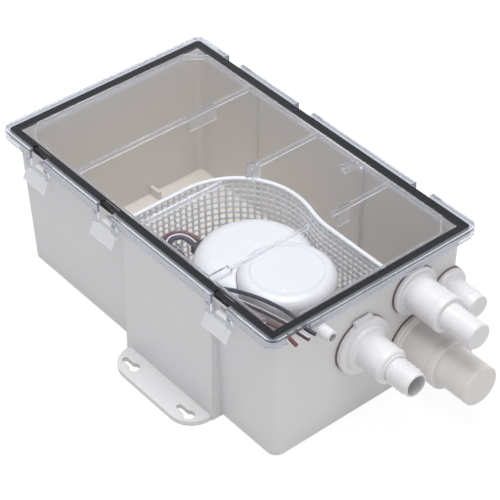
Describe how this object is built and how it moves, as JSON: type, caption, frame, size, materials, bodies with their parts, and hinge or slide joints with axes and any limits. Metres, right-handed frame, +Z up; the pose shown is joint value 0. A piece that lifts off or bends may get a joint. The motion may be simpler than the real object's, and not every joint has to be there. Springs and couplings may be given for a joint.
{
  "type": "shower sump pump",
  "caption": "Clear-lidded shower sump: a tub with a curved filter screen, a domed automatic pump, a barbed outlet and closed stepped hose inlets.",
  "frame": {"origin": "centre of the tub's flat underside, on the surface it stands on", "axes": "+X along the tub towards the wall with the ports, +Y across it away from the foot that shows, +Z up"},
  "size_m": [0.38, 0.234, 0.1255],
  "materials": {
    "tub_abs": "satin",
    "gasket_rubber": "matt",
    "clear_lid": "clear gloss",
    "clear_latch": "frosted",
    "screen_plastic": "satin",
    "white_fitting": "gloss",
    "grey_fitting": "satin",
    "inner_fitting": "satin",
    "seal_rubber": "matt",
    "pump_shell": "satin",
    "pump_plastic": "satin",
    "black_rubber": "matt",
    "steel": "satin",
    "can_steel": "satin",
    "bronze": "satin",
    "copper": "satin",
    "laminations": "satin",
    "magnet": "matt",
    "float_foam": "matt",
    "reed_capsule": "satin",
    "black_insulation": "satin",
    "brown_insulation": "satin",
    "striped_insulation": "satin"
  },
  "bodies": {
    "sump": {"tub": "tub_abs", "rim_gasket": "gasket_rubber", "cable_tie": "clear_latch", "filter_screen": "screen_plastic", "outlet_fitting": "white_fitting", "medium_inlet_fitting": "white_fitting", "small_inlet_fitting": "white_fitting", "vent_nipple": "white_fitting", "large_inlet_fitting": "grey_fitting", "outlet_elbow": "inner_fitting", "large_inlet_nut": "inner_fitting", "medium_inlet_nut": "inner_fitting", "outlet_seal": "seal_rubber", "large_inlet_seal": "seal_rubber", "medium_inlet_seal": "seal_rubber", "small_inlet_seal": "seal_rubber", "shaft_seal": "seal_rubber", "motor_housing": "pump_shell", "switch_housing": "pump_shell", "pump_base": "pump_shell", "switch_stem": "pump_shell", "volute": "pump_plastic", "discharge_elbow": "pump_plastic", "motor_end_cap": "pump_plastic", "discharge_hose": "black_rubber", "wire_grommet": "black_rubber", "base_screws": "steel", "hose_clamps": "steel", "float_stop": "steel", "motor_can": "can_steel", "lower_bearing": "bronze", "upper_bearing": "bronze", "motor_magnets": "magnet", "motor_brushes": "magnet", "reed_switch": "reed_capsule", "black_wire": "black_insulation", "brown_wire": "brown_insulation", "striped_wire": "striped_insulation"},
    "rotor": {"impeller": "pump_plastic", "motor_shaft": "steel", "armature": "laminations", "commutator": "copper"},
    "float_unit": {"float": "float_foam", "float_magnet": "magnet"},
    "lid_body": {"lid": "clear_lid"},
    "latch_near_rear_body": {"latch_near_rear": "clear_latch"},
    "latch_near_middle_body": {"latch_near_middle": "clear_latch"},
    "latch_near_front_body": {"latch_near_front": "clear_latch"},
    "latch_far_rear_body": {"latch_far_rear": "clear_latch"},
    "latch_far_middle_body": {"latch_far_middle": "clear_latch"},
    "latch_far_front_body": {"latch_far_front": "clear_latch"}
  },
  "joints": [
    {"name": "lid_lift", "type": "slide", "parent": "sump", "child": "lid_body", "axis": [0, 0, 1], "range_m": [0, 0.15]},
    {"name": "latch_near_rear_flex", "type": "hinge", "parent": "lid_body", "child": "latch_near_rear_body", "pos_m": [-0.1135, -0.0963, 0.1162], "axis": [-1, 0, 0], "range_deg": [0, 30], "stiffness_Nm_per_rad": 0.3},
    {"name": "latch_near_middle_flex", "type": "hinge", "parent": "lid_body", "child": "latch_near_middle_body", "pos_m": [-0.028, -0.0963, 0.1162], "axis": [-1, 0, 0], "range_deg": [0, 30], "stiffness_Nm_per_rad": 0.3},
    {"name": "latch_near_front_flex", "type": "hinge", "parent": "lid_body", "child": "latch_near_front_body", "pos_m": [0.104, -0.0963, 0.1162], "axis": [-1, 0, 0], "range_deg": [0, 30], "stiffness_Nm_per_rad": 0.3},
    {"name": "latch_far_rear_flex", "type": "hinge", "parent": "lid_body", "child": "latch_far_rear_body", "pos_m": [-0.1135, 0.0963, 0.1162], "axis": [1, 0, 0], "range_deg": [0, 30], "stiffness_Nm_per_rad": 0.3},
    {"name": "latch_far_middle_flex", "type": "hinge", "parent": "lid_body", "child": "latch_far_middle_body", "pos_m": [-0.028, 0.0963, 0.1162], "axis": [1, 0, 0], "range_deg": [0, 30], "stiffness_Nm_per_rad": 0.3},
    {"name": "latch_far_front_flex", "type": "hinge", "parent": "lid_body", "child": "latch_far_front_body", "pos_m": [0.104, 0.0963, 0.1162], "axis": [1, 0, 0], "range_deg": [0, 30], "stiffness_Nm_per_rad": 0.3},
    {"name": "rotor_spin", "type": "hinge", "parent": "sump", "child": "rotor", "pos_m": [0.09, -0.023, 0.05], "axis": [0, 0, 1], "continuous": true},
    {"name": "float_rise", "type": "slide", "parent": "sump", "child": "float_unit", "axis": [0, 0, 1], "range_m": [0, 0.018]}
  ]
}
